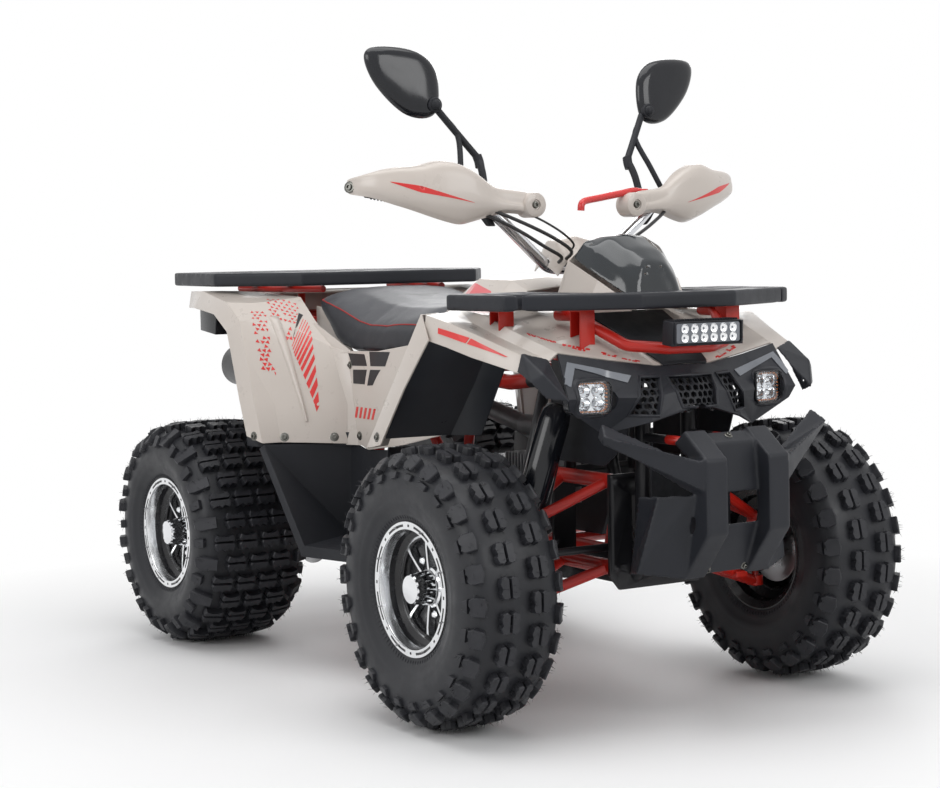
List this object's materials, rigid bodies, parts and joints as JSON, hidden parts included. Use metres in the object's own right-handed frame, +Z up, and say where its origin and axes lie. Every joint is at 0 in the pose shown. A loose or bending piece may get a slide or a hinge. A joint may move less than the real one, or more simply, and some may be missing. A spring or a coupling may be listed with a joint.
{
  "type": "quad bike",
  "caption": "Small utility quad bike with knobbly tyres, red steel frame, moulded mudguards, padded seat, load racks front and rear, handlebar with handguards and mirrors.",
  "frame": {"origin": "on the ground under the middle of the machine's length and width, 35.5 mm ahead of the point midway between the axles", "axes": "+X forward, +Y to the rider's left, +Z up"},
  "size_m": [1.6125, 0.9292, 1.1696],
  "materials": {
    "red_steel": "red powder coat, semi-gloss",
    "dark_steel": "black paint, satin",
    "bare_steel": "machined, lightly oiled",
    "chrome_bar": "polished",
    "engine_metal": "die cast, unpolished",
    "rim_steel": "black paint, gloss",
    "black_plastic": "moulded, fine texture",
    "gloss_black": "moulded, glossy",
    "panel_plastic": "moulded through-colour plastic with printed stripes, glossy",
    "seat_cover": "coated fabric over foam, fine grain",
    "lamp_lens": "clear moulded lens",
    "grip_rubber": "ribbed rubber",
    "tyre_rubber": "knobbly tread, matt"
  },
  "bodies": {
    "chassis": {"frame": "red_steel", "engine": "engine_metal", "carburettor": "engine_metal", "airbox": "black_plastic", "exhaust": "dark_steel", "lower_arms": "red_steel", "upper_arms": "red_steel", "front_shocks": "red_steel", "shock_guards": "black_plastic", "swing_arm": "red_steel", "rear_shock": "red_steel", "chain": "bare_steel", "front_fender": "panel_plastic", "fender_tips": "gloss_black", "hood_strip": "panel_plastic", "front_liners": "black_plastic", "rear_fender": "panel_plastic", "side_covers": "black_plastic", "tank_cover": "panel_plastic", "dash_cowl": "black_plastic", "dash_visor": "gloss_black", "footwells": "black_plastic", "seat": "seat_cover", "fascia": "gloss_black", "headlamps": "lamp_lens", "light_bar": "gloss_black", "bumper": "black_plastic", "tail_lamps": "black_plastic", "front_rack": "black_plastic", "rear_rack": "black_plastic", "front_rack_frame": "red_steel", "rear_rack_frame": "red_steel"},
    "steering": {"steering_column": "dark_steel", "handlebar": "chrome_bar", "grips": "grip_rubber", "controls": "gloss_black", "handguards": "black_plastic", "mirrors": "gloss_black", "bar_cover": "black_plastic"},
    "knuckle_right_body": {"knuckle_right": "dark_steel"},
    "tie_rod_right_body": {"tie_rod_right": "dark_steel"},
    "wheel_front_right": {"tyre_front_right": "tyre_rubber", "rim_front_right": "rim_steel", "brake_disc_front_right": "bare_steel"},
    "knuckle_left_body": {"knuckle_left": "dark_steel"},
    "tie_rod_left_body": {"tie_rod_left": "dark_steel"},
    "wheel_front_left": {"tyre_front_left": "tyre_rubber", "rim_front_left": "rim_steel", "brake_disc_front_left": "bare_steel"},
    "rear_wheels": {"tyre_rear_right": "tyre_rubber", "rim_rear_right": "rim_steel", "tyre_rear_left": "tyre_rubber", "rim_rear_left": "rim_steel", "rear_axle": "bare_steel"}
  },
  "joints": [
    {"name": "steer", "type": "hinge", "parent": "chassis", "child": "steering", "pos_m": [0.4945, 0, 0.235], "axis": [-0.3256, 0, 0.9455], "range_deg": [-30, 30]},
    {"name": "knuckle_right_turn", "type": "hinge", "parent": "chassis", "child": "knuckle_right_body", "pos_m": [0.4665, -0.3, 0.2415], "axis": [0, 0, 1], "range_deg": [-30, 30]},
    {"name": "tie_rod_right_swing", "type": "hinge", "parent": "steering", "child": "tie_rod_right_body", "pos_m": [0.5249, -0.016, 0.285], "axis": [-0.3256, 0, 0.9455], "range_deg": [-30, 30]},
    {"name": "wheel_front_right_spin", "type": "hinge", "parent": "knuckle_right_body", "child": "wheel_front_right", "pos_m": [0.4665, -0.376, 0.2415], "axis": [0, 1, 0], "continuous": true},
    {"name": "knuckle_left_turn", "type": "hinge", "parent": "chassis", "child": "knuckle_left_body", "pos_m": [0.4665, 0.3, 0.2415], "axis": [0, 0, 1], "range_deg": [-30, 30]},
    {"name": "tie_rod_left_swing", "type": "hinge", "parent": "steering", "child": "tie_rod_left_body", "pos_m": [0.5249, 0.016, 0.285], "axis": [-0.3256, 0, 0.9455], "range_deg": [-30, 30]},
    {"name": "wheel_front_left_spin", "type": "hinge", "parent": "knuckle_left_body", "child": "wheel_front_left", "pos_m": [0.4665, 0.376, 0.2415], "axis": [0, 1, 0], "continuous": true},
    {"name": "rear_wheels_spin", "type": "hinge", "parent": "chassis", "child": "rear_wheels", "pos_m": [-0.5375, 0, 0.2285], "axis": [0, 1, 0], "continuous": true}
  ],
  "couplings": [
    {"joint": "knuckle_right_turn", "follows": "steer", "ratio": 1},
    {"joint": "tie_rod_right_swing", "follows": "steer", "ratio": -1},
    {"joint": "knuckle_left_turn", "follows": "steer", "ratio": 1},
    {"joint": "tie_rod_left_swing", "follows": "steer", "ratio": -1}
  ]
}
